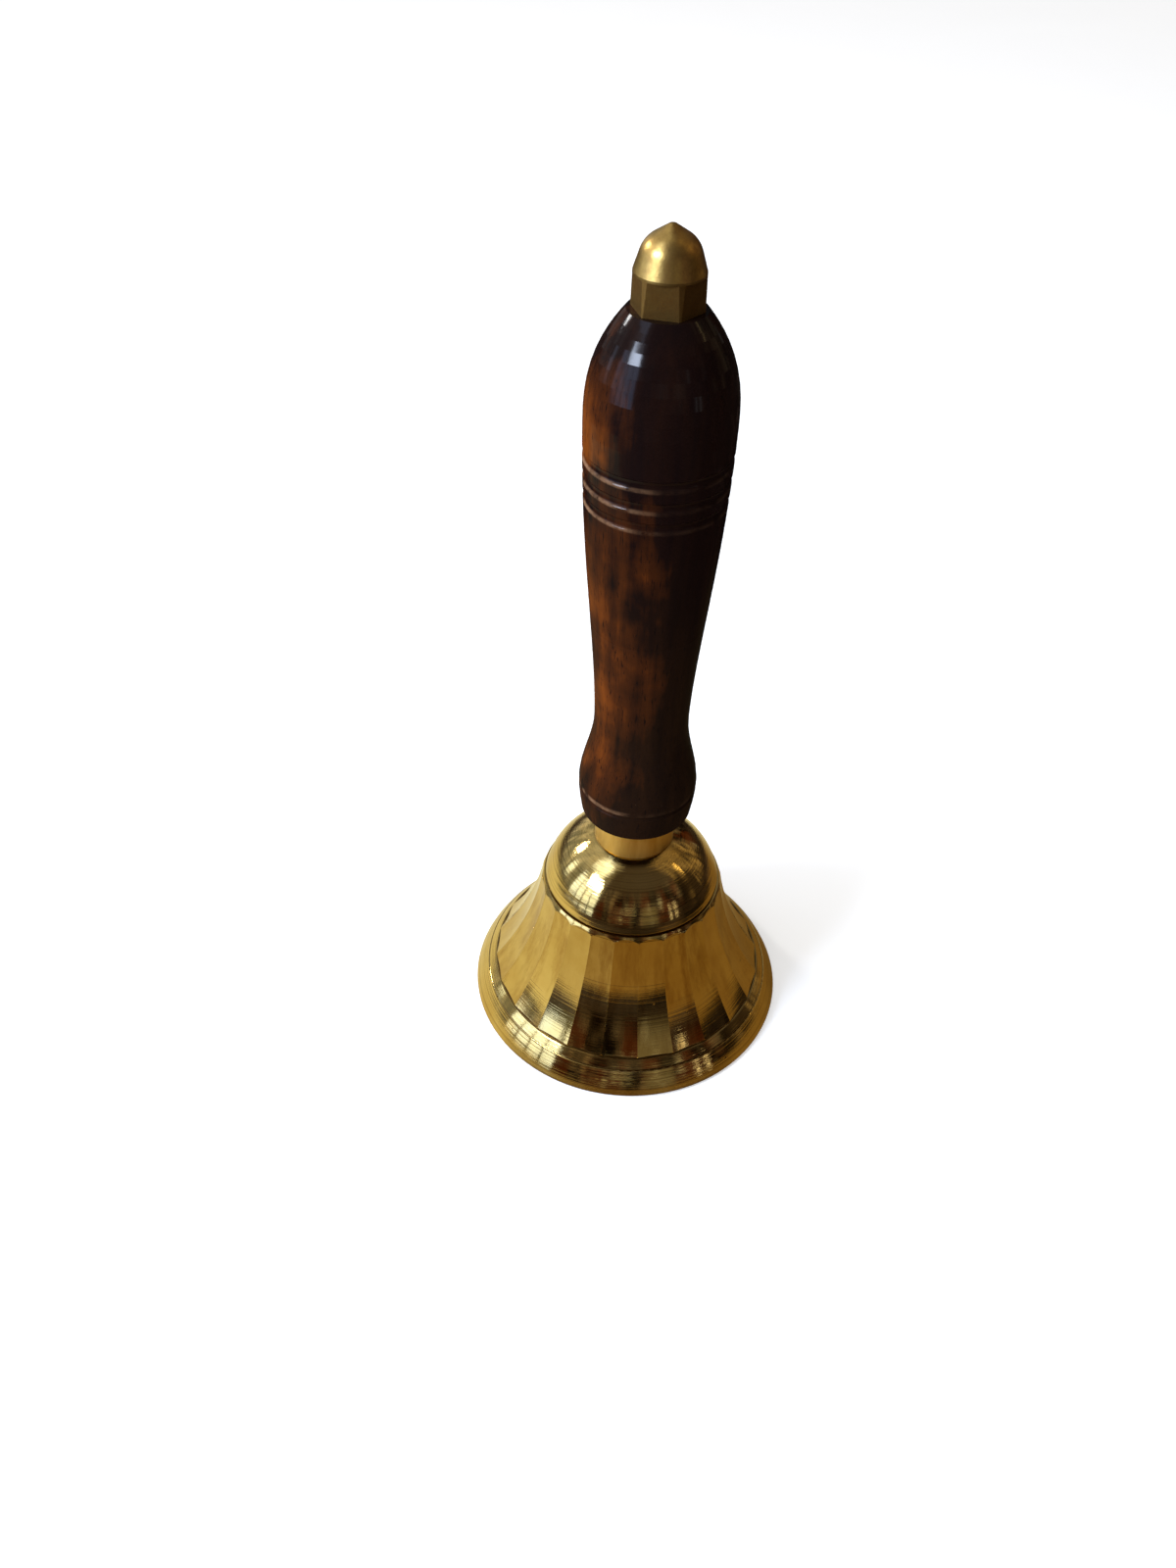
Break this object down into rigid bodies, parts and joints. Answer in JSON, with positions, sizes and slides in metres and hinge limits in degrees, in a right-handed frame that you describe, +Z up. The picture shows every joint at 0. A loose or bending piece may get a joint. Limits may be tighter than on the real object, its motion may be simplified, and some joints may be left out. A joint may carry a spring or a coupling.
{
  "type": "hand bell",
  "caption": "Small brass hand bell with a hollow-ground faceted skirt, turned dark wooden handle, domed cap nut and a free-swinging clapper on a link.",
  "frame": {"origin": "centre of the bell's mouth, in the plane of the rim that it stands on", "axes": "+Z up the handle along the bell's axis; the middle of one facet faces -Y; the rod's eye lies in the YZ plane"},
  "size_m": [0.076, 0.076, 0.1851],
  "materials": {
    "bell_brass": "polished, with fine turning marks",
    "collar_brass": "satin",
    "nut_brass": "satin, slightly tarnished",
    "dark_wood": "dark stain under gloss lacquer",
    "rod_steel": "drawn wire, plain",
    "zinc_steel": "zinc plated",
    "bob_iron": "turned, oiled"
  },
  "bodies": {
    "bell": {"bell_body": "bell_brass", "neck_collar": "collar_brass", "handle": "dark_wood", "tie_rod": "rod_steel", "cap_nut": "nut_brass", "crown_washer": "zinc_steel", "crown_nut": "zinc_steel"},
    "link": {"clapper_link": "rod_steel"},
    "clapper": {"clapper_shank": "rod_steel", "clapper_bob": "bob_iron"}
  },
  "joints": [
    {"name": "link_swing", "type": "hinge", "parent": "bell", "child": "link", "pos_m": [0, 0, 0.035], "axis": [1, 0, 0], "range_deg": [-41, 41]},
    {"name": "clapper_swing", "type": "hinge", "parent": "link", "child": "clapper", "pos_m": [0, 0, 0.03025], "axis": [0, 1, 0], "range_deg": [-18, 18]}
  ]
}
